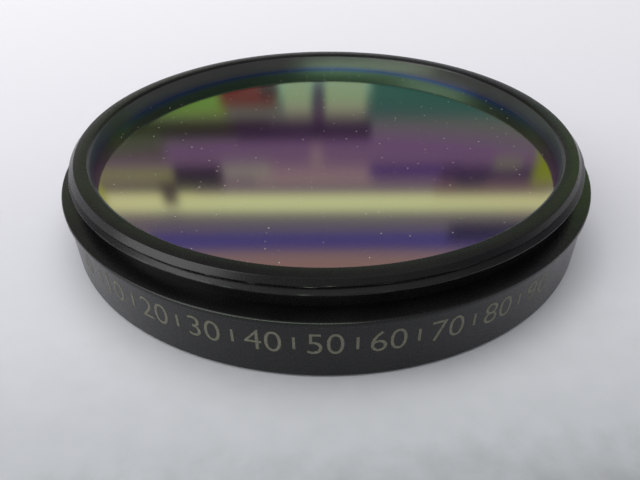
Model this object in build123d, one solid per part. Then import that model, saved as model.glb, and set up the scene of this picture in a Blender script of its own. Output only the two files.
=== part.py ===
"""Round two-inch optical bandpass filter: a turned cell, its coated glass and the ring that holds the glass.

Millimetres, +Z up along the optical axis. The origin is the centre of the cell's bottom face, on which the filter
stands with its male thread up. Both ends of the cell carry the same thread, so that filters stack. The thread's turns
are left out: the male thread is its plain crest cylinder, and so is the female one.
"""

import os

from build123d import *

# Thread at both ends: major radius, pitch, and the standard depths of its outer and inner turns for that pitch
THREAD_R = 24.00
THREAD_PITCH = 0.75
OUTER_DEPTH_PER_PITCH = 0.6134
INNER_DEPTH_PER_PITCH = 0.5413

# Outside of the cell, from the bottom up
WALL_OVER_THREAD = 0.75
WALL_HEIGHT = 4.80
FOOT_CHAMFER = 0.20
COLLAR_STEP = 0.20
COLLAR_HEIGHT = 0.45
COLLAR_EDGE_ROUND = 0.12
RELIEF_HEIGHT = 1.15
RELIEF_BELOW_ROOT = 0.24
MALE_LENGTH = 1.30
MALE_LEAD_CHAMFER = 0.65

# Coated glass disc, the play round its edge, and the lip of the cell that it bears on
GLASS_UNDER_THREAD = 1.40
GLASS_THICKNESS = 2.00
GLASS_EDGE_CHAMFER = 0.15
GLASS_CLEARANCE = 0.10
LIP_OVERLAP = 0.60
LIP_HEIGHT = 1.85
RIM_CHAMFER = 0.25

# Retaining ring, its running fit in the cell, and its spanner slots
RING_OVER_GLASS = 0.40
RING_OVERLAP = 0.45
RING_HEIGHT = 1.20
RING_CHAMFER = 0.15
RING_CLEARANCE = 0.03
RING_THREAD_OVERRUN = 0.15
SLOT_WIDTH = 1.60
SLOT_DEPTH = 0.60
SLOT_COUNT = 2

# Female thread in the bottom of the cell
SOCKET_DEPTH = 2.70
SOCKET_MOUTH_CHAMFER = 0.50
SOCKET_RELIEF_HEIGHT = 0.50
SOCKET_RELIEF_OVER_MAJOR = 0.10

# Radii that follow from the sizes above
WALL_R = THREAD_R + WALL_OVER_THREAD
COLLAR_R = WALL_R + COLLAR_STEP
GLASS_R = THREAD_R - GLASS_UNDER_THREAD
APERTURE_R = GLASS_R - LIP_OVERLAP
RING_R = GLASS_R + RING_OVER_GLASS
RING_BORE_R = GLASS_R - RING_OVERLAP

# Heights that follow from the sizes above
COLLAR_FOOT_Z = WALL_HEIGHT + COLLAR_STEP
SHOULDER_Z = COLLAR_FOOT_Z + COLLAR_HEIGHT
MALE_FOOT_Z = SHOULDER_Z + RELIEF_HEIGHT
RIM_Z = MALE_FOOT_Z + MALE_LENGTH
GLASS_TOP_Z = RIM_Z - LIP_HEIGHT
GLASS_BOTTOM_Z = GLASS_TOP_Z - GLASS_THICKNESS
RING_BOTTOM_Z = GLASS_BOTTOM_Z - RING_HEIGHT


def turned(outline):
    """Turn a closed outline of (radius, height) points about the optical axis."""
    section = Plane.XZ * make_face(Polyline(*outline, close=True))
    return revolve(section, Axis.Z, 360)


def outer_profile():
    """Outline of the cell's outside, from the bottom face up to the rim's outer edge."""
    relief_r = THREAD_R - OUTER_DEPTH_PER_PITCH * THREAD_PITCH - RELIEF_BELOW_ROOT
    return [
        (WALL_R - FOOT_CHAMFER, 0),
        (WALL_R, FOOT_CHAMFER),
        (WALL_R, WALL_HEIGHT),
        (COLLAR_R, COLLAR_FOOT_Z),
        (COLLAR_R, SHOULDER_Z),
        (relief_r, SHOULDER_Z),
        (relief_r, MALE_FOOT_Z),
        (THREAD_R, MALE_FOOT_Z),
        (THREAD_R, RIM_Z - MALE_LEAD_CHAMFER),
        (THREAD_R - MALE_LEAD_CHAMFER, RIM_Z),
    ]


def inner_profile():
    """Outline of the cell's inside, from the rim's inner edge down to the mouth of the female thread."""
    pocket_r = GLASS_R + GLASS_CLEARANCE
    ring_bore_r = RING_R + RING_CLEARANCE
    ring_bore_top_z = GLASS_BOTTOM_Z + RING_THREAD_OVERRUN
    socket_r = THREAD_R - INNER_DEPTH_PER_PITCH * THREAD_PITCH
    socket_relief_r = THREAD_R + SOCKET_RELIEF_OVER_MAJOR
    socket_relief_z = SOCKET_DEPTH - SOCKET_RELIEF_HEIGHT
    return [
        (APERTURE_R + RIM_CHAMFER, RIM_Z),
        (APERTURE_R, RIM_Z - RIM_CHAMFER),
        (APERTURE_R, GLASS_TOP_Z),
        (pocket_r, GLASS_TOP_Z),
        (pocket_r, ring_bore_top_z),
        (ring_bore_r, ring_bore_top_z),
        (ring_bore_r, SOCKET_DEPTH),
        (socket_relief_r, SOCKET_DEPTH),
        (socket_relief_r, socket_relief_z),
        (socket_r, socket_relief_z),
        (socket_r, SOCKET_MOUTH_CHAMFER),
        (socket_r + SOCKET_MOUTH_CHAMFER, 0),
    ]


def make_cell():
    """The cell: one turned ring with a male thread above, a female one below and a lip for the glass."""
    body = turned(outer_profile() + inner_profile())
    edges = body.edges().filter_by(GeomType.CIRCLE)
    collar_edge = [e for e in edges if abs(e.radius - COLLAR_R) < 0.001 and abs(e.center().Z - SHOULDER_Z) < 0.001]
    return fillet(collar_edge, COLLAR_EDGE_ROUND)


def make_glass():
    """The coated glass disc, with both edges broken by a small chamfer, seated against the cell's lip."""
    disc = Pos(0, 0, GLASS_BOTTOM_Z) * Cylinder(GLASS_R, GLASS_THICKNESS, align=(Align.CENTER, Align.CENTER, Align.MIN))
    return chamfer(disc.edges().filter_by(GeomType.CIRCLE), GLASS_EDGE_CHAMFER)


def make_retaining_ring():
    """The threaded ring below the glass, with its spanner slots cut across the lower face."""
    ring = turned(
        [
            (RING_BORE_R, RING_BOTTOM_Z),
            (RING_R - RING_CHAMFER, RING_BOTTOM_Z),
            (RING_R, RING_BOTTOM_Z + RING_CHAMFER),
            (RING_R, GLASS_BOTTOM_Z - RING_CHAMFER),
            (RING_R - RING_CHAMFER, GLASS_BOTTOM_Z),
            (RING_BORE_R, GLASS_BOTTOM_Z),
        ]
    )
    slot_length = 2 * (RING_R - RING_BORE_R)
    cutter = Box(slot_length, SLOT_WIDTH, SLOT_DEPTH, align=(Align.CENTER, Align.CENTER, Align.MIN))
    middle_r = (RING_R + RING_BORE_R) / 2
    for turn in PolarLocations(middle_r, SLOT_COUNT):
        ring -= Pos(0, 0, RING_BOTTOM_Z) * turn * cutter
    return ring


def main():
    """Build every piece and write one STEP file for each."""
    os.makedirs("parts", exist_ok=True)
    pieces = {
        "cell": make_cell(),
        "filter_glass": make_glass(),
        "retaining_ring": make_retaining_ring(),
    }
    for name, piece in pieces.items():
        export_step(piece, f"parts/{name}.step")


main()
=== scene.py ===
"""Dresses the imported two-inch optical bandpass filter and sets it in a small light tent.

The cell is turned again at full resolution with its real thread turns, and its side wall carries a plain
degree scale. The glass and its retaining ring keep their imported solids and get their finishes. Everything is
in metres in the part's own frame, while the sizes in the classes are millimetres.
"""

import logging
import math
from collections.abc import Sequence
from dataclasses import dataclass, field
from enum import Enum

import bmesh
import bpy
from mathutils import Matrix, Vector

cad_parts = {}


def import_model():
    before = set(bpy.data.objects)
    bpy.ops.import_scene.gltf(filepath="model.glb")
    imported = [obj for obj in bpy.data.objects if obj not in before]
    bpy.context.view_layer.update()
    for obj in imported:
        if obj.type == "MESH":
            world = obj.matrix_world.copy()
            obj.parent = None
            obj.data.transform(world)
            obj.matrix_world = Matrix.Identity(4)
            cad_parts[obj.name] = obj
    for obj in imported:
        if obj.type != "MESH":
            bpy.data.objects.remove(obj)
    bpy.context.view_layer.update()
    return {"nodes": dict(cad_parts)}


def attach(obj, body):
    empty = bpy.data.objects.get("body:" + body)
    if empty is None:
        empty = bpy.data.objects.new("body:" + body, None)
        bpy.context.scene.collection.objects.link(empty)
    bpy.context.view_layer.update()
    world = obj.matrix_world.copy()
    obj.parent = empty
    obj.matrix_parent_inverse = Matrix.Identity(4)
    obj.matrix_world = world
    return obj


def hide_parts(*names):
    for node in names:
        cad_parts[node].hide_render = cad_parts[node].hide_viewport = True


MM = 0.001
BODY = "root"

log = logging.getLogger("bandpass_filter")


def linear(shade: str) -> tuple[float, float, float, float]:
    """Turn an sRGB hex colour into a linear one.

    Args:
        shade: The colour as six hex digits after a hash sign.

    Returns:
        Linear red, green, blue and an alpha of 1.
    """
    channels = [int(shade[i : i + 2], 16) / 255 for i in (1, 3, 5)]
    red, green, blue = (c / 12.92 if c <= 0.04045 else ((c + 0.055) / 1.055) ** 2.4 for c in channels)
    return red, green, blue, 1.0


def add_node(
    tree: bpy.types.NodeTree,
    kind: str,
    settings: dict[str | int, object] | None = None,
    links: dict[str | int, bpy.types.NodeSocket] | None = None,
) -> bpy.types.Node:
    """Add one node, set it up and link its inputs.

    Args:
        tree: The node tree that gets the node.
        kind: The node's type name.
        settings: Attributes of the node, or values of its inputs, by name or number.
        links: Output sockets that feed its inputs, by input name or number.

    Returns:
        The new node.
    """
    node = tree.nodes.new(kind)
    for name, value in (settings or {}).items():
        if isinstance(name, str) and hasattr(node, name):
            setattr(node, name, value)
        else:
            node.inputs[name].default_value = value
    for name, socket in (links or {}).items():
        tree.links.new(socket, node.inputs[name])
    return node


def set_ramp(node: bpy.types.Node, stops: Sequence[tuple[float, str]]) -> None:
    """Give a colour ramp its stops.

    Args:
        node: The colour ramp node.
        stops: Pairs of position and sRGB hex colour, in rising order.
    """
    elements = node.color_ramp.elements
    while len(elements) < len(stops):
        elements.new(1.0)
    for element, (position, shade) in zip(elements, stops):
        element.position = position
        element.color = linear(shade)


def axis_distance(tree: bpy.types.NodeTree, place: bpy.types.NodeSocket) -> bpy.types.NodeSocket:
    """Measure how far a point lies from the optical axis.

    Args:
        tree: The material's node tree.
        place: The socket with the Object coordinates.

    Returns:
        The socket with the distance in metres.
    """
    flat = add_node(tree, "ShaderNodeVectorMath", {"operation": "MULTIPLY", 1: (1, 1, 0)}, {0: place})
    length = add_node(tree, "ShaderNodeVectorMath", {"operation": "LENGTH"}, {0: flat.outputs["Vector"]})
    return length.outputs["Value"]


def new_material(name: str) -> tuple[bpy.types.Material, bpy.types.NodeTree, bpy.types.Node]:
    """Start an empty node material with its output.

    Args:
        name: The material's name.

    Returns:
        The material, its node tree and its output node.
    """
    material = bpy.data.materials.new(name)
    material.use_nodes = True
    tree = material.node_tree
    tree.nodes.clear()
    return material, tree, add_node(tree, "ShaderNodeOutputMaterial")


def dress(piece: bpy.types.Object, material: bpy.types.Material) -> None:
    """Make a material the piece's only one."""
    piece.data.materials.clear()
    piece.data.materials.append(material)


def spin_full(shape: bmesh.types.BMesh, steps: int) -> None:
    """Spin a section in the XZ plane all the way round, an eighth at a time, because long spins are slow.

    Args:
        shape: The mesh that holds only the section.
        steps: Faces all the way round, a multiple of eight.
    """
    shares = 8
    turn = math.tau / shares
    centre = (0, 0, 0)
    section = shape.verts[:] + shape.edges[:]
    bmesh.ops.spin(shape, geom=section, cent=centre, axis=(0, 0, 1), angle=turn, steps=steps // shares)
    first = shape.verts[:] + shape.edges[:] + shape.faces[:]
    for share in range(1, shares):
        copy = bmesh.ops.duplicate(shape, geom=first)
        verts = [v for v in copy["geom"] if isinstance(v, bmesh.types.BMVert)]
        bmesh.ops.rotate(shape, verts=verts, cent=centre, matrix=Matrix.Rotation(share * turn, 3, "Z"))
    bmesh.ops.remove_doubles(shape, verts=shape.verts[:], dist=0.001 * MM)


def finish_piece(name: str, shape: bmesh.types.BMesh, sharp_deg: float = 30.0) -> bpy.types.Object:
    """Turn a bmesh into a smooth-shaded object at the origin.

    Args:
        name: The piece's name.
        shape: Its shape in metres, freed here.
        sharp_deg: Edges that turn by more than this stay sharp.

    Returns:
        The new object.
    """
    mesh = bpy.data.meshes.new(name)
    shape.to_mesh(mesh)
    shape.free()
    mesh.shade_smooth()
    mesh.set_sharp_from_angle(angle=math.radians(sharp_deg))
    piece = bpy.data.objects.new(name, mesh)
    bpy.context.scene.collection.objects.link(piece)
    return piece


class Grain(Enum):
    """How a machined face was left."""

    FINE_TURNED = "fine_turned"
    MATT = "matt"


@dataclass(frozen=True)
class AnodisedAluminium:
    """Aluminium turned, lightly etched and dyed black: a dark satin face under a clear oxide skin.

    To the eye it is near black face on, with a grey sheen at a low angle that breaks up in fine rings and
    grain.
    """

    name: str = "black_anodised_aluminium"
    shade: str = "#0A0A0B"
    worn_shade: str = "#131312"
    roughness: float = 0.27
    roughness_spread: float = 0.05
    # A dyed oxide skin is porous, so it bends light less than solid alumina does.
    skin_ior: float = 1.40
    grain: Grain = Grain.FINE_TURNED
    etch_mm: float = 0.09
    cloud_mm: float = 4.0
    # The lathe's feed is about 0.05 mm a turn, too fine to show, so its marks are drawn 0.16 mm apart.
    feed_mm: float = 0.16
    relief_mm: float = 0.004
    relief_strength: float = 0.25

    def material(self) -> bpy.types.Material:
        """Build the finish: a dark skin whose gloss breaks up in etched grain and fine turning marks.

        Returns:
            The material.
        """
        material, tree, output = new_material(self.name)
        place = add_node(tree, "ShaderNodeTexCoord").outputs["Object"]
        etch = add_node(
            tree,
            "ShaderNodeTexNoise",
            {"Scale": 1 / (self.etch_mm * MM), "Detail": 3.0, "Roughness": 0.6},
            {"Vector": place},
        )
        cloud = add_node(
            tree, "ShaderNodeTexNoise", {"Scale": 1 / (self.cloud_mm * MM), "Detail": 2.0}, {"Vector": place}
        )
        shade = add_node(tree, "ShaderNodeValToRGB", links={"Fac": cloud.outputs["Fac"]})
        set_ramp(shade, [(0.3, self.shade), (0.75, self.worn_shade)])
        least, most = self.roughness - self.roughness_spread, self.roughness + self.roughness_spread
        gloss = add_node(
            tree,
            "ShaderNodeMapRange",
            {"From Min": 0.3, "From Max": 0.7, "To Min": least, "To Max": most},
            {"Value": etch.outputs["Fac"]},
        )
        height = etch.outputs["Fac"]
        if self.grain is Grain.FINE_TURNED:
            height = self._turning_marks(tree, place, height)
        bump = add_node(
            tree,
            "ShaderNodeBump",
            {"Strength": self.relief_strength, "Distance": self.relief_mm * MM},
            {"Height": height},
        )
        skin = add_node(
            tree,
            "ShaderNodeBsdfPrincipled",
            {"Metallic": 0.0, "IOR": self.skin_ior},
            {
                "Base Color": shade.outputs["Color"],
                "Roughness": gloss.outputs["Result"],
                "Normal": bump.outputs["Normal"],
            },
        )
        tree.links.new(skin.outputs["BSDF"], output.inputs["Surface"])
        return material

    def _turning_marks(
        self, tree: bpy.types.NodeTree, place: bpy.types.NodeSocket, etch: bpy.types.NodeSocket
    ) -> bpy.types.NodeSocket:
        """Add rings about the optical axis, a little uneven, to the etched grain.

        Args:
            tree: The material's node tree.
            place: The socket with the Object coordinates.
            etch: The socket with the etched grain.

        Returns:
            The socket with the height of both.
        """
        split = add_node(tree, "ShaderNodeSeparateXYZ", links={"Vector": place})
        along = add_node(
            tree,
            "ShaderNodeMath",
            {"operation": "ADD"},
            {0: axis_distance(tree, place), 1: split.outputs["Z"]},
        )
        turns = add_node(
            tree,
            "ShaderNodeTexNoise",
            {"noise_dimensions": "1D", "Scale": 1 / (self.feed_mm * MM), "Detail": 2.0},
            {"W": along.outputs["Value"]},
        )
        both = add_node(tree, "ShaderNodeMath", {"operation": "ADD"}, {0: turns.outputs["Fac"], 1: etch})
        return both.outputs["Value"]


@dataclass(frozen=True)
class LaserMark:
    """Dye burnt out of the anodised skin by a laser: dull, rough and pale olive grey.

    To the eye the marks stay even and readable where the skin round them turns from black to sheen.
    """

    name: str = "laser_marked_anodising"
    shade: str = "#5C5B4F"
    pale_shade: str = "#757362"
    roughness: float = 0.6
    ior: float = 1.5
    speckle_mm: float = 0.12
    relief_mm: float = 0.004
    relief_strength: float = 0.3

    def material(self) -> bpy.types.Material:
        """Build the finish: two close greys in fine speckle.

        Returns:
            The material.
        """
        material, tree, output = new_material(self.name)
        place = add_node(tree, "ShaderNodeTexCoord").outputs["Object"]
        speckle = add_node(
            tree,
            "ShaderNodeTexNoise",
            {"Scale": 1 / (self.speckle_mm * MM), "Detail": 2.0},
            {"Vector": place},
        )
        shade = add_node(tree, "ShaderNodeValToRGB", links={"Fac": speckle.outputs["Fac"]})
        set_ramp(shade, [(0.35, self.shade), (0.65, self.pale_shade)])
        bump = add_node(
            tree,
            "ShaderNodeBump",
            {"Strength": self.relief_strength, "Distance": self.relief_mm * MM},
            {"Height": speckle.outputs["Fac"]},
        )
        skin = add_node(
            tree,
            "ShaderNodeBsdfPrincipled",
            {"Metallic": 0.0, "IOR": self.ior, "Roughness": self.roughness},
            {"Base Color": shade.outputs["Color"], "Normal": bump.outputs["Normal"]},
        )
        tree.links.new(skin.outputs["BSDF"], output.inputs["Surface"])
        return material


@dataclass(frozen=True)
class InterferenceCoatedGlass:
    """Polished glass under a dielectric stack: a mirror whose tint turns with the angle, with dust on it.

    To the eye it is a coloured mirror: violet and pink from above, then olive, green and teal at a low angle.
    That shift is what marks such a coating.
    """

    name: str = "interference_coated_glass"
    # The layer weight's facing, from 0 face on to 1 grazing, and the mirror's tint there
    tints: tuple[tuple[float, str], ...] = (
        (0.00, "#C9A2D6"),
        (0.34, "#D9AEB0"),
        (0.42, "#CFBACB"),
        (0.50, "#D2ACC4"),
        (0.565, "#CDA0CE"),
        (0.60, "#B9BDA8"),
        (0.635, "#A2D4A2"),
        (0.66, "#A0D6A8"),
        (0.70, "#ACDECE"),
        (0.78, "#CACABE"),
    )
    # Above a polished face's own value, because what the glass mirrors lies out of the camera's focus
    roughness: float = 0.085
    dust_cell_mm: float = 1.1
    dust_mm: float = 0.07
    dust_shade: str = "#A09C93"
    dust_roughness: float = 0.8
    # Cells whose lot is above this hold a speck, a larger one for a higher lot.
    dust_from_lot: float = 0.72
    # Painted blue light: the mirror's tint turns blue in the outermost ring of the disc, where it is seen at a
    # low angle, for blue light from the coating on the wall that the disc mirrors there.
    painted_blue_shade: str = "#6FA6FF"
    edge_from_mm: float = 20.2
    edge_to_mm: float = 22.0
    edge_from_facing: float = 0.585
    edge_to_facing: float = 0.645

    def material(self) -> bpy.types.Material:
        """Build the finish: an angle ramp for the mirror's tint, and a sparse field of dust specks.

        Returns:
            The material.
        """
        material, tree, output = new_material(self.name)
        place = add_node(tree, "ShaderNodeTexCoord").outputs["Object"]
        facing = add_node(tree, "ShaderNodeLayerWeight", {"Blend": 0.5}).outputs["Facing"]
        tint = add_node(tree, "ShaderNodeValToRGB", links={"Fac": facing})
        set_ramp(tint, self.tints)
        dust = self._dust(tree, place)
        # Painted blue light in the disc's outer ring
        edge = self._painted_blue_edge(tree, place, facing, tint.outputs["Color"])
        colour = add_node(
            tree,
            "ShaderNodeMix",
            {"data_type": "RGBA", 7: linear(self.dust_shade)},
            {"Factor": dust, 6: edge},
        )
        gloss = add_node(
            tree,
            "ShaderNodeMapRange",
            {"To Min": self.roughness, "To Max": self.dust_roughness},
            {"Value": dust},
        )
        mirror = add_node(tree, "ShaderNodeMath", {"operation": "SUBTRACT", 0: 1.0}, {1: dust})
        skin = add_node(
            tree,
            "ShaderNodeBsdfPrincipled",
            links={
                "Base Color": colour.outputs[2],
                "Metallic": mirror.outputs["Value"],
                "Roughness": gloss.outputs["Result"],
            },
        )
        tree.links.new(skin.outputs["BSDF"], output.inputs["Surface"])
        return material

    def _painted_blue_edge(
        self,
        tree: bpy.types.NodeTree,
        place: bpy.types.NodeSocket,
        facing: bpy.types.NodeSocket,
        tint: bpy.types.NodeSocket,
    ) -> bpy.types.NodeSocket:
        """Paint blue light into the tint in the outermost ring of the disc, where it is seen at a low angle.

        Args:
            tree: The material's node tree.
            place: The socket with the Object coordinates.
            facing: The socket with the layer weight.
            tint: The socket with the mirror's tint.

        Returns:
            The socket with the tint, with painted blue light at the edge.
        """
        outer = add_node(
            tree,
            "ShaderNodeMapRange",
            {
                "interpolation_type": "SMOOTHSTEP",
                "From Min": self.edge_from_mm * MM,
                "From Max": self.edge_to_mm * MM,
            },
            {"Value": axis_distance(tree, place)},
        )
        low = add_node(
            tree,
            "ShaderNodeMapRange",
            {
                "interpolation_type": "SMOOTHSTEP",
                "From Min": self.edge_from_facing,
                "From Max": self.edge_to_facing,
            },
            {"Value": facing},
        )
        both = add_node(
            tree,
            "ShaderNodeMath",
            {"operation": "MULTIPLY"},
            {0: outer.outputs["Result"], 1: low.outputs["Result"]},
        )
        mixed = add_node(
            tree,
            "ShaderNodeMix",
            {"data_type": "RGBA", 7: linear(self.painted_blue_shade)},
            {"Factor": both.outputs["Value"], 6: tint},
        )
        return mixed.outputs[2]

    def _dust(self, tree: bpy.types.NodeTree, place: bpy.types.NodeSocket) -> bpy.types.NodeSocket:
        """Scatter round specks of several sizes, one in about a quarter of the cells.

        Args:
            tree: The material's node tree.
            place: The socket with the Object coordinates.

        Returns:
            The socket that is 1 on a speck.
        """
        cells = add_node(
            tree,
            "ShaderNodeTexVoronoi",
            {"voronoi_dimensions": "2D", "Scale": 1 / (self.dust_cell_mm * MM)},
            {"Vector": place},
        )
        lot = add_node(tree, "ShaderNodeSeparateColor", links={"Color": cells.outputs["Color"]})
        size = add_node(
            tree,
            "ShaderNodeMapRange",
            {"From Min": self.dust_from_lot, "To Max": self.dust_mm / self.dust_cell_mm},
            {"Value": lot.outputs["Red"]},
        )
        speck = add_node(
            tree,
            "ShaderNodeMath",
            {"operation": "LESS_THAN"},
            {0: cells.outputs["Distance"], 1: size.outputs["Result"]},
        )
        return speck.outputs["Value"]


@dataclass(frozen=True)
class StudioPaper:
    """Pale matt paper with a faint mottle of fibres, under a painted run of shade.

    To the eye it is a soft seamless ground, almost white at the back, with a painted shadow greyest just
    before the part and to its front right.
    """

    name: str = "studio_paper_painted_shade"
    # Pairs of place along the run in millimetres and the painted shade there, darkest just before the part
    painted_shades: tuple[tuple[float, str], ...] = (
        (-150.0, "#D2D3D6"),
        (-90.0, "#BFC1C4"),
        (-52.0, "#8E9193"),
        (-36.0, "#7B7E80"),
        (-28.0, "#B2B5B7"),
        (-16.0, "#C8CACD"),
        (-6.0, "#CECFD3"),
        (20.0, "#DADADE"),
        (100.0, "#EBEBED"),
    )
    # The run goes along Y and leans this much towards X, so the painted shadow is darker to the front right.
    lean: float = -0.10
    fibre_mm: float = 2.0
    mottle: float = 0.02
    roughness: float = 0.8
    ior: float = 1.3

    def material(self) -> bpy.types.Material:
        """Build the finish: a painted run of shade with a faint mottle.

        Returns:
            The material.
        """
        material, tree, output = new_material(self.name)
        place = add_node(tree, "ShaderNodeTexCoord").outputs["Object"]
        fibres = add_node(
            tree, "ShaderNodeTexNoise", {"Scale": 1 / (self.fibre_mm * MM), "Detail": 4.0}, {"Vector": place}
        )
        along = add_node(
            tree, "ShaderNodeVectorMath", {"operation": "DOT_PRODUCT", 1: (self.lean, 1, 0)}, {0: place}
        )
        first, last = self.painted_shades[0][0], self.painted_shades[-1][0]
        run = add_node(
            tree,
            "ShaderNodeMapRange",
            {"From Min": first * MM, "From Max": last * MM},
            {"Value": along.outputs["Value"]},
        )
        part = add_node(
            tree,
            "ShaderNodeMath",
            {"operation": "MULTIPLY_ADD", 1: self.mottle},
            {0: fibres.outputs["Fac"], 2: run.outputs["Result"]},
        )
        # Painted shade: the run darkens the floor towards the front and the front right.
        shade = add_node(tree, "ShaderNodeValToRGB", links={"Fac": part.outputs["Value"]})
        set_ramp(shade, [((at - first) / (last - first), colour) for at, colour in self.painted_shades])
        sheet = add_node(
            tree,
            "ShaderNodeBsdfPrincipled",
            {"Roughness": self.roughness, "IOR": self.ior},
            {"Base Color": shade.outputs["Color"]},
        )
        tree.links.new(sheet.outputs["BSDF"], output.inputs["Surface"])
        return material


@dataclass(frozen=True)
class GlowingCard:
    """A sheet lit evenly from behind that fades out towards its edges.

    To the eye it is only a soft patch of colour in what mirrors it.
    """

    name: str
    shade: str
    strength: float
    centre: tuple[float, float, float]
    size: tuple[float, float]
    fade_mm: float

    def material(self) -> bpy.types.Material:
        """Build the finish: plain light of one colour, clear at the faded edges.

        Returns:
            The material.
        """
        material, tree, output = new_material(self.name)
        glow = add_node(tree, "ShaderNodeEmission", {"Color": linear(self.shade), "Strength": self.strength})
        clear = add_node(tree, "ShaderNodeBsdfTransparent")
        mixed = add_node(
            tree,
            "ShaderNodeMixShader",
            links={"Fac": self._fade(tree), 1: glow.outputs["Emission"], 2: clear.outputs["BSDF"]},
        )
        tree.links.new(mixed.outputs["Shader"], output.inputs["Surface"])
        return material

    def _fade(self, tree: bpy.types.NodeTree) -> bpy.types.NodeSocket:
        """Measure how far a point lies outside the card's even middle.

        Args:
            tree: The material's node tree.

        Returns:
            The socket that is 0 in the middle and 1 from the edge on.
        """
        middle = tuple(c * MM for c in self.centre)
        even = [max(side / 2 - self.fade_mm, 0) * MM for side in self.size]
        steps = (
            ("SUBTRACT", middle),
            ("MULTIPLY", (1, 0, 1)),
            ("ABSOLUTE", (0, 0, 0)),
            ("SUBTRACT", (even[0], 0, even[1])),
            ("MAXIMUM", (0, 0, 0)),
        )
        off = add_node(tree, "ShaderNodeTexCoord").outputs["Object"]
        for operation, amount in steps:
            off = add_node(
                tree, "ShaderNodeVectorMath", {"operation": operation, 1: amount}, {0: off}
            ).outputs["Vector"]
        far = add_node(tree, "ShaderNodeVectorMath", {"operation": "LENGTH"}, {0: off})
        fade = add_node(
            tree,
            "ShaderNodeMapRange",
            {"interpolation_type": "SMOOTHSTEP", "From Max": self.fade_mm * MM},
            {"Value": far.outputs["Value"]},
        )
        return fade.outputs["Result"]


class Side(Enum):
    """Which side of its metal a thread is cut into."""

    OUTER = "outer"
    INNER = "inner"


@dataclass
class Thread:
    """One cut of a right-handed 60 degree thread about the optical axis."""

    side: Side
    crest_r: float
    root_r: float
    sharp_r: float
    pitch: float
    start_z: float
    foot_z: float
    top_z: float

    def radius(self, angle: float, height: float) -> float:
        """Give the flank's radius at a place.

        Args:
            angle: Direction about the axis from +X, in radians.
            height: Height in millimetres.

        Returns:
            The radius in millimetres, between root and crest.
        """
        turns = (height - self.start_z) / self.pitch - angle / math.tau
        off = abs(turns - round(turns)) * self.pitch
        # The form is flat over an eighth of the pitch, with a flank at 30 degrees on either side.
        flat_half = self.pitch / 16
        fall = max(0.0, off - flat_half) / math.tan(math.radians(30))
        return max(self.sharp_r - fall, min(self.crest_r, self.root_r))


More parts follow.
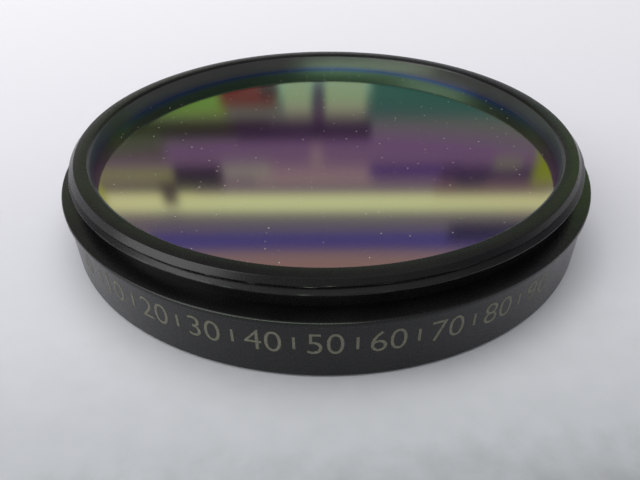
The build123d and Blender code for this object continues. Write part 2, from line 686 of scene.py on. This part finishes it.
@dataclass
class Cell:
    """The turned cell, with real turns on the thread at both of its ends."""

    # Thread at both ends, with its turns' depths outside and inside as shares of the pitch
    thread_r: float = 24.00
    pitch: float = 0.75
    outer_depth: float = 0.6134
    inner_depth: float = 0.5413
    # Height at which the male thread's crest passes the front, and the female one's groove passes +X
    male_crest_z: float = 6.98
    female_groove_z: float = 0.40
    # Outside, from the bottom up
    wall_over_thread: float = 0.75
    wall_height: float = 4.80
    foot_chamfer: float = 0.20
    collar_step: float = 0.20
    collar_height: float = 0.45
    collar_round: float = 0.12
    relief_height: float = 1.15
    relief_below_root: float = 0.24
    male_length: float = 1.30
    lead_chamfer: float = 0.65
    # Inside, from the rim down
    rim_chamfer: float = 0.25
    lip_height: float = 1.85
    lip_overlap: float = 0.60
    glass_under_thread: float = 1.40
    glass_thickness: float = 2.00
    glass_clearance: float = 0.10
    ring_over_glass: float = 0.40
    ring_clearance: float = 0.03
    ring_thread_overrun: float = 0.15
    socket_depth: float = 2.70
    socket_relief_height: float = 0.50
    socket_relief_over_major: float = 0.10
    mouth_chamfer: float = 0.50
    # Outside corners are broken by this much.
    edge_break: float = 0.04
    # Faces round the axis, rows along a thread, and the angle from which an edge stays sharp
    around: int = 480
    rows_per_mm: float = 36.0
    sharp_deg: float = 14.0
    # Slack in comparing heights and radii
    slack: float = 0.001
    finish: AnodisedAluminium = field(default_factory=AnodisedAluminium)
    # The bore is etched but not fine turned. It is a paler copy of the cell's finish, a shade paler face on
    # with more sheen at a low angle: painted light, for light that the coating throws back onto the wall.
    bore_painted_light_finish: AnodisedAluminium = field(
        default_factory=lambda: AnodisedAluminium(
            name="anodised_bore_painted_light",
            shade="#1E1E1D",
            worn_shade="#272726",
            roughness=0.32,
            skin_ior=1.65,
            grain=Grain.MATT,
        )
    )

    def __post_init__(self) -> None:
        """Work out the radii and heights that follow from the sizes."""
        glass_r = self.thread_r - self.glass_under_thread
        self.wall_r = self.thread_r + self.wall_over_thread
        self.collar_r = self.wall_r + self.collar_step
        self.male_root_r = self.thread_r - self.outer_depth * self.pitch
        self.relief_r = self.male_root_r - self.relief_below_root
        self.aperture_r = glass_r - self.lip_overlap
        self.pocket_r = glass_r + self.glass_clearance
        self.ring_bore_r = glass_r + self.ring_over_glass + self.ring_clearance
        self.socket_crest_r = self.thread_r - self.inner_depth * self.pitch
        self.socket_relief_r = self.thread_r + self.socket_relief_over_major
        self.collar_foot_z = self.wall_height + self.collar_step
        self.shoulder_z = self.collar_foot_z + self.collar_height
        self.male_foot_z = self.shoulder_z + self.relief_height
        self.rim_z = self.male_foot_z + self.male_length
        self.glass_top_z = self.rim_z - self.lip_height
        self.ring_bore_top_z = self.glass_top_z - self.glass_thickness + self.ring_thread_overrun
        self.socket_relief_z = self.socket_depth - self.socket_relief_height

    def outline(self) -> list[tuple[float, float]]:
        """List the section's corners.

        Returns:
            Pairs of radius and height in millimetres, from the rim's inner edge down the inside.
        """
        return [
            (self.aperture_r + self.rim_chamfer, self.rim_z),
            (self.aperture_r, self.rim_z - self.rim_chamfer),
            (self.aperture_r, self.glass_top_z),
            (self.pocket_r, self.glass_top_z),
            (self.pocket_r, self.ring_bore_top_z),
            (self.ring_bore_r, self.ring_bore_top_z),
            (self.ring_bore_r, self.socket_depth),
            (self.socket_relief_r, self.socket_depth),
            (self.socket_relief_r, self.socket_relief_z),
            (self.socket_crest_r, self.socket_relief_z),
            (self.socket_crest_r, self.mouth_chamfer),
            (self.socket_crest_r + self.mouth_chamfer, 0),
            (self.wall_r - self.foot_chamfer, 0),
            (self.wall_r, self.foot_chamfer),
            (self.wall_r, self.wall_height),
            (self.collar_r, self.collar_foot_z),
            (self.collar_r, self.shoulder_z),
            (self.relief_r, self.shoulder_z),
            (self.relief_r, self.male_foot_z),
            (self.thread_r, self.male_foot_z),
            (self.thread_r, self.rim_z - self.lead_chamfer),
            (self.thread_r - self.lead_chamfer, self.rim_z),
        ]

    def male_thread(self) -> Thread:
        """Give the male thread, set so that its crest passes the front at its own height.

        Returns:
            The thread.
        """
        # The front lies a quarter turn back from +X, where the turns are counted from.
        return Thread(
            side=Side.OUTER,
            crest_r=self.thread_r,
            root_r=self.male_root_r,
            sharp_r=self.thread_r,
            pitch=self.pitch,
            start_z=self.male_crest_z + self.pitch / 4,
            foot_z=self.male_foot_z,
            top_z=self.rim_z,
        )

    def female_thread(self) -> Thread:
        """Give the female thread, whose groove opens outwards from its crest.

        Returns:
            The thread.
        """
        return Thread(
            side=Side.INNER,
            crest_r=self.socket_crest_r,
            root_r=self.thread_r,
            sharp_r=self.thread_r,
            pitch=self.pitch,
            start_z=self.female_groove_z,
            foot_z=0,
            top_z=self.socket_relief_z,
        )

    def build(self) -> None:
        """Spin the section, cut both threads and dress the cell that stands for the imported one."""
        shape = bmesh.new()
        corners = [shape.verts.new((r * MM, 0, z * MM)) for r, z in self.outline()]
        for pair in zip(corners, corners[1:] + corners[:1]):
            shape.edges.new(pair)
        self._break_corners(shape, corners)
        self._divide(shape)
        spin_full(shape, self.around)
        self._cut(shape, self.male_thread())
        self._cut(shape, self.female_thread())
        bmesh.ops.recalc_face_normals(shape, faces=shape.faces[:])
        piece = finish_piece("cell_turned", shape, self.sharp_deg)
        dress(piece, self.finish.material())
        self._dress_bore_painted_light(piece)
        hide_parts("cell")
        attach(piece, BODY)
        log.info("%s: %d faces, real turns on both threads", piece.name, len(piece.data.polygons))

    def _dress_bore_painted_light(self, piece: bpy.types.Object) -> None:
        """Give the wall between rim and glass its own finish, a paler copy of the cell's with painted light.

        Args:
            piece: The cell, which already wears its main finish.
        """
        piece.data.materials.append(self.bore_painted_light_finish.material())
        # The wall's broken edge reaches this far up the rim's chamfer.
        outermost = self.aperture_r + self.rim_chamfer / 3
        for face in piece.data.polygons:
            radius = math.hypot(face.center.x, face.center.y) / MM
            if face.center.z / MM > self.glass_top_z and radius < outermost:
                face.material_index = 1

    def _break_corners(self, shape: bmesh.types.BMesh, corners: list[bmesh.types.BMVert]) -> None:
        """Round the collar's top edge, and break the other outside corners so that they catch the light.

        Args:
            shape: The section.
            corners: Its corners, as the outline lists them.
        """
        grooves = (self.relief_r, self.pocket_r, self.socket_relief_r)
        for corner, (radius, height) in zip(corners, self.outline()):
            if radius in grooves or height == self.glass_top_z:
                continue
            on_collar = (radius, height) == (self.collar_r, self.shoulder_z)
            bmesh.ops.bevel(
                shape,
                geom=[corner],
                offset=(self.collar_round if on_collar else self.edge_break) * MM,
                offset_type="OFFSET",
                segments=4 if on_collar else 2,
                profile=0.5,
                affect="VERTICES",
                material=-1,
            )

    def _divide(self, shape: bmesh.types.BMesh) -> None:
        """Give the lengths that carry a thread enough rows for its flanks.

        Args:
            shape: The section.
        """
        for side in shape.edges[:]:
            high = max(v.co.z for v in side.verts) / MM
            low = min(v.co.z for v in side.verts) / MM
            radius = max(v.co.x for v in side.verts) / MM
            on_male = low > self.male_foot_z - self.slack and self._on_male_wall(radius)
            on_female = high < self.socket_relief_z + self.slack and radius < self.socket_relief_r
            if high > low + self.slack and (on_male or on_female):
                cuts = max(1, round((high - low) * self.rows_per_mm))
                bmesh.ops.subdivide_edges(shape, edges=[side], cuts=cuts)

    def _on_male_wall(self, radius: float) -> bool:
        """Tell whether a radius is well clear of the thread relief."""
        return radius > (self.relief_r + self.male_root_r) / 2

    def _on_female_wall(self, radius: float) -> bool:
        """Tell whether a radius lies from the female crest out to just short of the run-out's wall."""
        return self.socket_crest_r - self.slack < radius < self.socket_relief_r - self.slack

    def _cut(self, shape: bmesh.types.BMesh, thread: Thread) -> None:
        """Move a thread's skin from its crest surface to its flanks.

        Args:
            shape: The spun cell.
            thread: The thread to cut.
        """
        for vert in shape.verts:
            height = vert.co.z / MM
            radius = math.hypot(vert.co.x, vert.co.y) / MM
            if not thread.foot_z - self.slack <= height <= thread.top_z + self.slack:
                continue
            flank = thread.radius(math.atan2(vert.co.y, vert.co.x), height)
            if thread.side is Side.OUTER and self._on_male_wall(radius):
                target = min(radius, flank)
            elif thread.side is Side.INNER and self._on_female_wall(radius):
                target = max(radius, flank)
            else:
                continue
            vert.co.x *= target / radius
            vert.co.y *= target / radius


@dataclass
class DegreeScale:
    """Plain numbers and ticks marked round the front of the wall, every ten degrees of arc."""

    wall_r: float
    foot_z: float = 2.38
    cap_height: float = 1.90
    first_deg: float = -50.0
    step_deg: float = 10.0
    count: int = 10
    tick_width: float = 0.2
    # Share of the numbers' height that a tick has
    tick_share: float = 0.6
    # The letters' strokes are thinned by this much before they are scaled to their height.
    stroke_trim: float = -0.008
    proud: float = 0.008
    sunk: float = 0.03
    grid_mm: float = 0.25
    finish: LaserMark = field(default_factory=LaserMark)

    def build(self) -> None:
        """Lay out the marks on a flat strip, bend it to the wall and dress it."""
        shape = bmesh.new()
        for index in range(self.count):
            centre = self.wall_r * math.radians(self.first_deg + index * self.step_deg)
            self._number(shape, str(index * 10), centre)
            if index < self.count - 1:
                middle = centre + self.wall_r * math.radians(self.step_deg / 2)
                self._tick(shape, middle, self.cap_height * self.tick_share)
        self._slice(shape)
        bmesh.ops.recalc_face_normals(shape, faces=shape.faces[:])
        raised = bmesh.ops.extrude_face_region(shape, geom=shape.faces[:])
        lifted = [v for v in raised["geom"] if isinstance(v, bmesh.types.BMVert)]
        bmesh.ops.translate(shape, verts=lifted, vec=(0, -(self.proud + self.sunk) * MM, 0))
        for vert in shape.verts:
            turn = vert.co.x / (self.wall_r * MM) - math.pi / 2
            radius = (self.wall_r - self.sunk) * MM - vert.co.y
            vert.co = Vector((radius * math.cos(turn), radius * math.sin(turn), vert.co.z))
        bmesh.ops.recalc_face_normals(shape, faces=shape.faces[:])
        piece = finish_piece("degree_marks", shape)
        dress(piece, self.finish.material())
        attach(piece, BODY)
        log.info("%s: %d numbers, %d faces", piece.name, self.count, len(piece.data.polygons))

    def _slice(self, shape: bmesh.types.BMesh) -> None:
        """Cut the strip upright every grid step, so that its marks can bend.

        Args:
            shape: The strip's mesh, in the XZ plane.
        """
        left = min(v.co.x for v in shape.verts)
        slices = int((max(v.co.x for v in shape.verts) - left) / (self.grid_mm * MM))
        for index in range(1, slices + 1):
            cut = (left + index * self.grid_mm * MM, 0, 0)
            geometry = shape.verts[:] + shape.edges[:] + shape.faces[:]
            bmesh.ops.bisect_plane(shape, geom=geometry, dist=0.0001 * MM, plane_co=cut, plane_no=(1, 0, 0))

    def _number(self, shape: bmesh.types.BMesh, label: str, centre: float) -> None:
        """Add one number, standing upright on the strip.

        Args:
            shape: The strip's mesh, in the XZ plane.
            label: The number.
            centre: Its middle along the strip, in millimetres.
        """
        curve = bpy.data.curves.new("number", "FONT")
        curve.body = label
        curve.resolution_u = 6
        curve.offset = self.stroke_trim
        holder = bpy.data.objects.new("number", curve)
        bpy.context.scene.collection.objects.link(holder)
        flat = bpy.data.meshes.new_from_object(holder.evaluated_get(bpy.context.evaluated_depsgraph_get()))
        bpy.data.objects.remove(holder)
        bpy.data.curves.remove(curve)
        low = [min(v.co[i] for v in flat.vertices) for i in (0, 1)]
        high = [max(v.co[i] for v in flat.vertices) for i in (0, 1)]
        to_origin = Matrix.Translation((-(low[0] + high[0]) / 2, -low[1], 0))
        to_height = Matrix.Scale(self.cap_height / (high[1] - low[1]) * MM, 4)
        upright = Matrix.Rotation(math.pi / 2, 4, "X") @ to_height
        flat.transform(Matrix.Translation((centre * MM, 0, self.foot_z * MM)) @ upright @ to_origin)
        shape.from_mesh(flat)
        bpy.data.meshes.remove(flat)

    def _tick(self, shape: bmesh.types.BMesh, centre: float, height: float) -> None:
        """Add one tick between two numbers.

        Args:
            shape: The strip's mesh, in the XZ plane.
            centre: Its middle along the strip, in millimetres.
            height: Its height in millimetres.
        """
        middle_z = self.foot_z + self.cap_height / 2
        place = Matrix.Translation((centre * MM, 0, middle_z * MM)) @ Matrix.Rotation(math.pi / 2, 4, "X")
        size = Matrix.Diagonal((self.tick_width * MM, height * MM, 1, 1))
        bmesh.ops.create_grid(shape, x_segments=1, y_segments=1, size=0.5, matrix=place @ size)


@dataclass
class Optics:
    """The coated glass and the ring under it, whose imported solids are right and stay."""

    glass: InterferenceCoatedGlass = field(default_factory=InterferenceCoatedGlass)
    # The ring is only etched, so it is duller than the cell.
    ring: AnodisedAluminium = field(
        default_factory=lambda: AnodisedAluminium(name="black_anodised_ring", roughness=0.4, grain=Grain.MATT)
    )

    def dress_nodes(self, nodes: dict[str, bpy.types.Object]) -> None:
        """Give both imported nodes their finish.

        Args:
            nodes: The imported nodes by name.
        """
        dress(nodes["filter_glass"], self.glass.material())
        dress(nodes["retaining_ring"], self.ring.material())
        log.info("filter_glass and retaining_ring: packed solids, dressed")


@dataclass
class Card:
    """An upright glowing card that the glass mirrors, behind the part unless y says otherwise."""

    name: str
    left: float
    right: float
    foot: float
    top: float
    shade: str
    strength: float = 1.0
    tilt: float = 0.0
    fade: float = 5.0
    y: float = 350.0


@dataclass
class SoftLamp:
    """A rectangular area lamp."""

    name: str
    place: tuple[float, float, float]
    aim: tuple[float, float, float]
    size: tuple[float, float]
    watts: float
    mirrored: bool = True

    def build(self) -> None:
        """Add the lamp to the scene, turned to what it aims at."""
        lamp = bpy.data.lights.new(self.name, "AREA")
        lamp.shape = "RECTANGLE"
        lamp.size, lamp.size_y = (side * MM for side in self.size)
        lamp.energy = self.watts
        holder = bpy.data.objects.new(self.name, lamp)
        holder.location = Vector(self.place) * MM
        holder.rotation_euler = (Vector(self.aim) - Vector(self.place)).to_track_quat("-Z", "Y").to_euler()
        holder.visible_glossy = self.mirrored
        bpy.context.scene.collection.objects.link(holder)


@dataclass
class LightTent:
    """The floor, lamps, world and the cards that the glass mirrors."""

    floor_half: float = 3000.0
    floor_z: float = -0.01
    paper: StudioPaper = field(default_factory=StudioPaper)
    lamps: tuple[SoftLamp, ...] = (
        SoftLamp("window_left", (-238, -84, 220), (0, 0, 5), (220, 230), 0.5),
        SoftLamp("soft_box_above", (20, 60, 520), (0, 10, 0), (560, 520), 1.95, mirrored=False),
    )
    # The sine of the elevation and the tent's shade there: pale low down, dim half way up, brighter overhead
    walls: tuple[tuple[float, str], ...] = (
        (0.0, "#DADBDE"),
        (0.325, "#DADBDE"),
        (0.375, "#7A747E"),
        (0.60, "#747078"),
        (0.80, "#8A8A8E"),
        (1.0, "#C8C8CC"),
    )
    # Soft shapes of the room round the part. Each hangs a little nearer than the one before and lies over it.
    cards: tuple[Card, ...] = (
        Card("dim_wall", -260, 260, 243, 264, "#65686D"),
        Card("strip_light", -420, 420, 215, 246, "#D4FFA2", strength=1.3, tilt=-1.0, fade=10.0),
        Card("strip_gap", -142, -120, 206, 238, "#3C3040", fade=9.0),
        Card("blue_screen", -160, 320, 260, 284, "#3A3C8C", fade=7.0),
        Card("blue_shade", 104, 210, 248, 278, "#1E1C44", fade=9.0),
        Card("warm_screen", -260, 260, 282, 344, "#968C7C"),
        Card("window_green", -200, -70, 124, 158, "#8A9452", tilt=-3.0, fade=9.0),
        Card("window_teal", 26, 420, 108, 162, "#46606C", tilt=2.5, fade=14.0),
        Card("pane_left", -34, -7, 118, 153, "#B8A8A0", fade=7.0),
        Card("pane_right", -4, 34, 118, 153, "#B8A8A0", fade=7.0),
        Card("red_screen", -84, -31, 118, 149, "#8A1C30", tilt=6.0, fade=10.0),
        Card("red_shade", -52, -30, 118, 140, "#42203A", tilt=12.0, fade=8.0),
        Card("post", -12, 3, 120, 166, "#61436B", fade=6.0),
        Card("rail", -160, -40, 151, 173, "#181018", tilt=-1.0, fade=7.0),
        Card("rail_far", -72, 40, 151, 175, "#2C143C", tilt=-1.0, fade=8.0),
        Card("dim_left", -240, -120, 160, 194, "#5A6650", fade=12.0),
        Card("lens_shade", -62, 46, 189, 216, "#989789", tilt=-4.0, fade=11.0),
        Card("smear", -16, 3, 170, 200, "#8E9182", tilt=4.0, fade=9.0),
        Card("pale_patch", -88, -38, 186, 208, "#93AC86", tilt=-6.0, fade=10.0),
        Card("shelf", -190, -116, 190, 209, "#8CAC5C", tilt=-2.0, fade=7.0),
        Card("shelf_foot", -198, -80, 206, 219, "#2A1E34", tilt=-1.5),
        Card("over_strip", -110, 200, 206, 222, "#584A70", tilt=-1.5, fade=8.0),
        Card("box", -126, -78, 187, 217, "#16122C", tilt=-7.0, fade=9.0),
        Card("violet_screen", 30, 116, 186, 207, "#3E2A74", tilt=-3.0, fade=10.0),
        Card("violet_far", 88, 178, 187, 212, "#362A4E", tilt=3.0, fade=10.0),
        Card("brown_box", 84, 186, 202, 222, "#66505A", fade=9.0),
        Card("dark_knob", 100, 134, 192, 215, "#261E46", tilt=8.0, fade=10.0),
        Card("pale_spot", 128, 160, 178, 198, "#7D986A", tilt=12.0, fade=9.0),
        Card("left_end", -420, -176, 202, 236, "#A8D044", fade=8.0),
        Card("right_end", 160, 420, 144, 212, "#84B020", tilt=8.0, fade=10.0),
        Card("window_behind", -800, 110, 60, 220, "#EAFFE2", strength=7.5, fade=60.0, y=-400.0),
    )

    def build(self) -> None:
        """Set up the floor, the cards, the lamps and the world."""
        self._floor()
        for index, card in enumerate(self.cards):
            self._card(card, index)
        for lamp in self.lamps:
            lamp.build()
        self._world()
        log.info("floor, %d cards, %d lamps and the world are set", len(self.cards), len(self.lamps))

    def _floor(self) -> None:
        """Lay the pale floor just under the base."""
        shape = bmesh.new()
        place = Matrix.Translation((0, 0, self.floor_z * MM))
        bmesh.ops.create_grid(shape, x_segments=1, y_segments=1, size=self.floor_half * MM, matrix=place)
        floor = finish_piece("floor", shape)
        dress(floor, self.paper.material())

    def _card(self, card: Card, index: int) -> None:
        """Hang one card where only mirrors see it.

        Args:
            card: The card.
            index: Its place in the row, which sets its distance so that no two share a plane.
        """
        sides = (card.right - card.left, card.top - card.foot)
        apart = 0.5
        middle = Vector(((card.left + card.right) / 2, card.y - apart * index, (card.foot + card.top) / 2))
        stand = Matrix.Rotation(math.radians(card.tilt), 4, "Y") @ Matrix.Rotation(math.pi / 2, 4, "X")
        extent = Matrix.Diagonal((sides[0] * MM, sides[1] * MM, 1, 1))
        place = Matrix.Translation(middle * MM) @ stand @ extent
        shape = bmesh.new()
        bmesh.ops.create_grid(shape, x_segments=1, y_segments=1, size=0.5, matrix=place)
        hung = finish_piece(card.name, shape)
        glow = GlowingCard(card.name, card.shade, card.strength, tuple(middle), sides, card.fade)
        dress(hung, glow.material())
        hung.visible_camera = False
        hung.visible_diffuse = False
        hung.visible_shadow = False

    def _world(self) -> None:
        """Give the tent its walls, shaded by how high they stand."""
        world = bpy.data.worlds.new("light_tent")
        bpy.context.scene.world = world
        world.use_nodes = True
        tree = world.node_tree
        tree.nodes.clear()
        way = add_node(tree, "ShaderNodeTexCoord")
        split = add_node(tree, "ShaderNodeSeparateXYZ", links={"Vector": way.outputs["Generated"]})
        tent = add_node(tree, "ShaderNodeValToRGB", links={"Fac": split.outputs["Z"]})
        set_ramp(tent, self.walls)
        sky = add_node(tree, "ShaderNodeBackground", {"Strength": 1.0}, {"Color": tent.outputs["Color"]})
        add_node(tree, "ShaderNodeOutputWorld", links={"Surface": sky.outputs["Background"]})


@dataclass
class PhotoCamera:
    """The camera that the photograph's curves were fitted with."""

    place: tuple[float, float, float] = (0.0, -50.616, 30.728)
    pitch_deg: float = 35.97
    yaw: float = -0.0118
    roll: float = -0.0114
    lens: float = 31.11
    sensor_width: float = 36.0
    clip: tuple[float, float] = (1.0, 20000.0)

    def build(self) -> None:
        """Create the camera and make it the scene's."""
        pitch = math.radians(self.pitch_deg)
        forward = math.cos(pitch)
        ahead = Vector((math.sin(self.yaw) * forward, math.cos(self.yaw) * forward, -math.sin(pitch)))
        level = Vector((math.cos(self.yaw), -math.sin(self.yaw), 0))
        above = level.cross(ahead)
        right = level * math.cos(self.roll) + above * math.sin(self.roll)
        up = above * math.cos(self.roll) - level * math.sin(self.roll)
        data = bpy.data.cameras.new("photo_camera")
        data.lens = self.lens
        data.sensor_width = self.sensor_width
        data.sensor_fit = "HORIZONTAL"
        data.clip_start, data.clip_end = (limit * MM for limit in self.clip)
        camera = bpy.data.objects.new("photo_camera", data)
        turn = Matrix((right, up, -ahead)).transposed().to_4x4()
        camera.matrix_world = Matrix.Translation(Vector(self.place) * MM) @ turn
        bpy.context.scene.collection.objects.link(camera)
        bpy.context.scene.camera = camera


def main() -> None:
    """Build every piece in order."""
    logging.basicConfig(level=logging.INFO, format="%(name)s: %(message)s")
    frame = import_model()
    bpy.context.scene.view_settings.view_transform = "Standard"
    PhotoCamera().build()
    cell = Cell()
    cell.build()
    DegreeScale(cell.wall_r).build()
    Optics().dress_nodes(frame["nodes"])
    LightTent().build()


if __name__ == "__main__":
    main()
